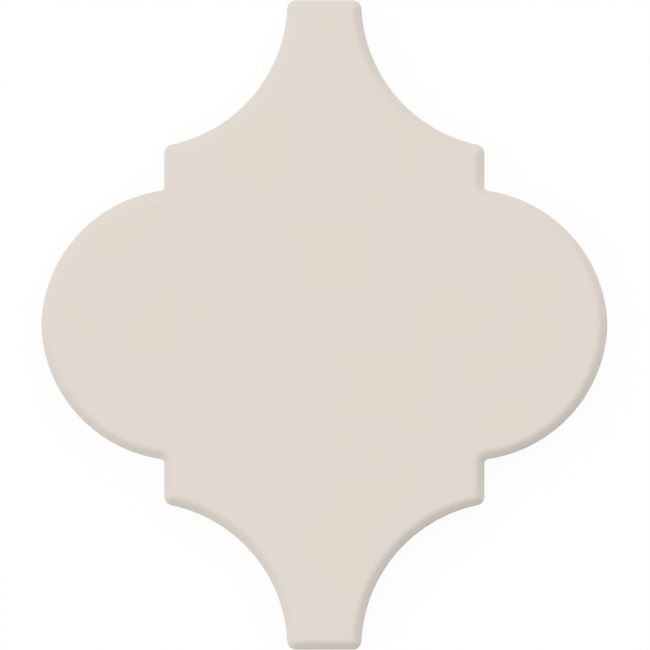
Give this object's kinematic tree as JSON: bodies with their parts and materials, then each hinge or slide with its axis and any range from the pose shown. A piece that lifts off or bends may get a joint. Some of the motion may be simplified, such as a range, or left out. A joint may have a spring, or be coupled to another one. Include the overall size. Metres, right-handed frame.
{
  "type": "arabesque tile",
  "caption": "Flat arabesque (lantern) wall tile with rounded lobes, square necks and hollow bites that interlock with its neighbours, a cushion edge round the glazed face and a keyed back.",
  "frame": {"origin": "middle of the back, in the plane of its ribs and rim, which the tile lies on", "axes": "+Z out of the glazed face, +Y from neck to neck, +X from lobe to lobe"},
  "size_m": [0.1394, 0.16, 0.008],
  "materials": {
    "glazed_body": "matte"
  },
  "bodies": {
    "root": {"arabesque_tile": "glazed_body"}
  },
  "joints": []
}
